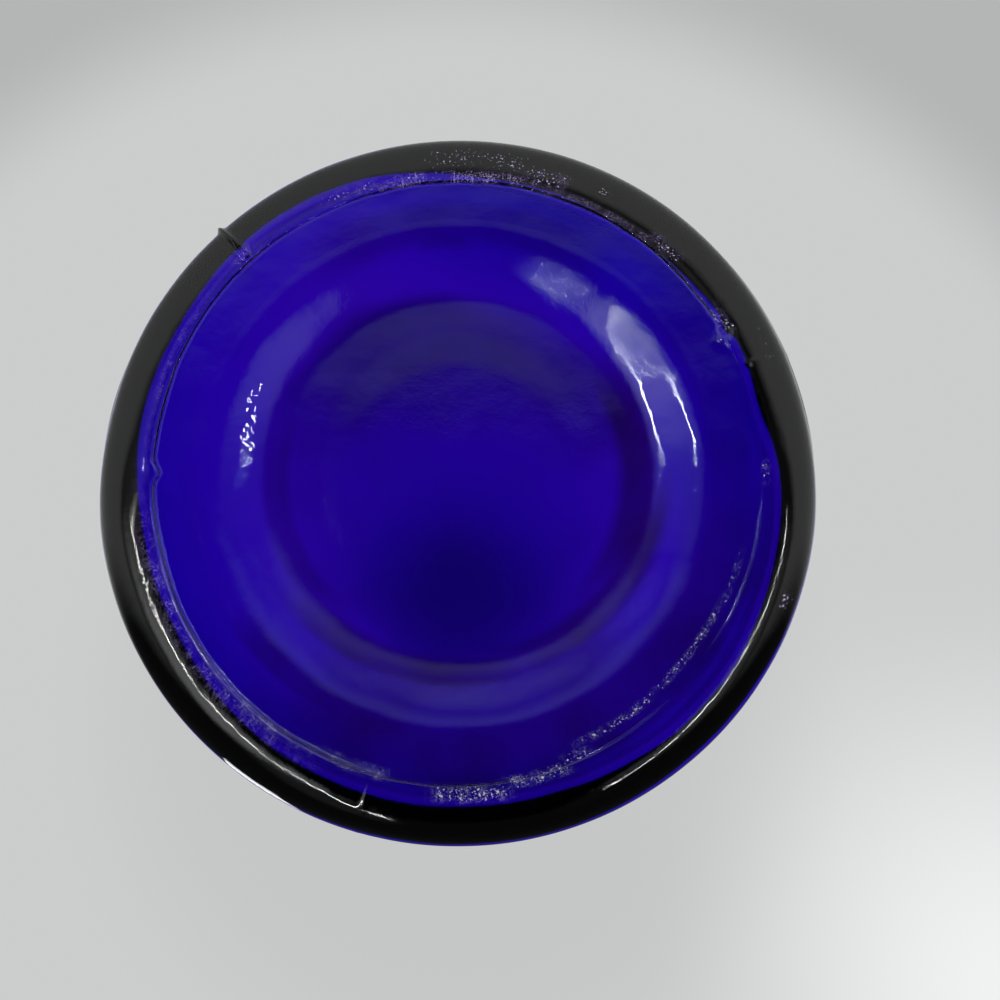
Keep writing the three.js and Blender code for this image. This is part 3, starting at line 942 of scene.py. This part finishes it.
def add_camera(stage):
    """Camera under the base, looking up along the bottle's axis at the photograph's angle"""
    frame_pixels = 1000.0
    base_pixel = (460.0, 472.0)
    tilt = stage.camera_tilt
    place = Vector((0, -math.sin(tilt), -math.cos(tilt))) * stage.camera_distance
    up = Vector((0, math.cos(tilt), -math.sin(tilt)))
    right = Vector((-1, 0, 0))
    pixel = stage.camera_distance / stage.focal_pixels
    target = (right * (frame_pixels / 2 - base_pixel[0]) - up * (frame_pixels / 2 - base_pixel[1])) * pixel
    data = bpy.data.cameras.new("camera")
    data.sensor_width = 36.0
    data.lens = stage.focal_pixels / frame_pixels * data.sensor_width
    data.clip_start = 0.005
    camera = bpy.data.objects.new("camera", data)
    camera.matrix_world = facing(place, target, up)
    bpy.context.scene.collection.objects.link(camera)
    bpy.context.scene.camera = camera


class DECANTER_OT_stage(Operator):
    """Adds the camera, the backdrop, the floor and the lamps"""
    bl_idname = "decanter.stage"
    bl_label = "Stage"

    def execute(self, context):
        stage = context.scene.decanter_stage
        context.scene.view_settings.view_transform = "Standard"
        add_camera(stage)
        add_world(stage)
        add_floor(stage)
        add_lamps(stage)
        return {"FINISHED"}


class DECANTER_OT_bottle(Operator):
    """Makes the moulded glass bottle"""
    bl_idname = "decanter.bottle"
    bl_label = "Bottle"

    def execute(self, context):
        size = context.scene.decanter_bottle
        marks = context.scene.decanter_marks
        bottle = make_bottle(size, marks)
        material = glass_material("cobalt_glass", context.scene.decanter_finish, worn_and_shaded=True)
        dressed(bottle, material, "bottle", "bottle")
        return {"FINISHED"}


class DECANTER_OT_stopper(Operator):
    """Makes the hollow glass stopper"""
    bl_idname = "decanter.stopper"
    bl_label = "Stopper"

    def execute(self, context):
        stopper = make_stopper(context.scene.decanter_stopper)
        material = glass_material("stopper_glass", context.scene.decanter_finish)
        dressed(stopper, material, "stopper", "stopper")
        return {"FINISHED"}


class DECANTER_OT_cork(Operator):
    """Makes the cork sleeve on the stopper's shank"""
    bl_idname = "decanter.cork"
    bl_label = "Cork sleeve"

    def execute(self, context):
        sleeve = make_cork(context.scene.decanter_cork)
        dressed(sleeve, cork_material(context.scene.decanter_finish), "cork_sleeve", "cork")
        return {"FINISHED"}


class DECANTER_PT_pieces(Panel):
    """Lists what makes the decanter and its stage"""
    bl_idname = "DECANTER_PT_pieces"
    bl_label = "Genie bottle decanter"
    bl_space_type = "VIEW_3D"
    bl_region_type = "UI"
    bl_category = "Decanter"

    def draw(self, context):
        for operator in (DECANTER_OT_bottle, DECANTER_OT_stopper, DECANTER_OT_cork, DECANTER_OT_stage):
            self.layout.operator(operator.bl_idname)
        for group in GROUPS:
            box = self.layout.box()
            settings = getattr(context.scene, group)
            for name in settings.bl_rna.properties.keys():
                if name not in ("rna_type", "name"):
                    box.prop(settings, name)


GROUPS = {
    "decanter_bottle": BottleSizes,
    "decanter_marks": GlassMarks,
    "decanter_stopper": StopperSizes,
    "decanter_cork": CorkSizes,
    "decanter_finish": Finishes,
    "decanter_stage": StageSettings,
}
TOOLS = (DECANTER_OT_stage, DECANTER_OT_bottle, DECANTER_OT_stopper, DECANTER_OT_cork, DECANTER_PT_pieces)


def register():
    """Adds the settings, the operators and the panel"""
    for name, group in GROUPS.items():
        bpy.utils.register_class(group)
        setattr(bpy.types.Scene, name, PointerProperty(type=group))
    for tool in TOOLS:
        bpy.utils.register_class(tool)


def unregister():
    """Takes them out again"""
    for tool in reversed(TOOLS):
        bpy.utils.unregister_class(tool)
    for name, group in reversed(GROUPS.items()):
        delattr(bpy.types.Scene, name)
        bpy.utils.unregister_class(group)


def main():
    """Makes the decanter on its stage"""
    register()
    bpy.ops.decanter.stage()
    bpy.ops.decanter.bottle()
    bpy.ops.decanter.stopper()
    bpy.ops.decanter.cork()


if __name__ == "__main__":
    main()
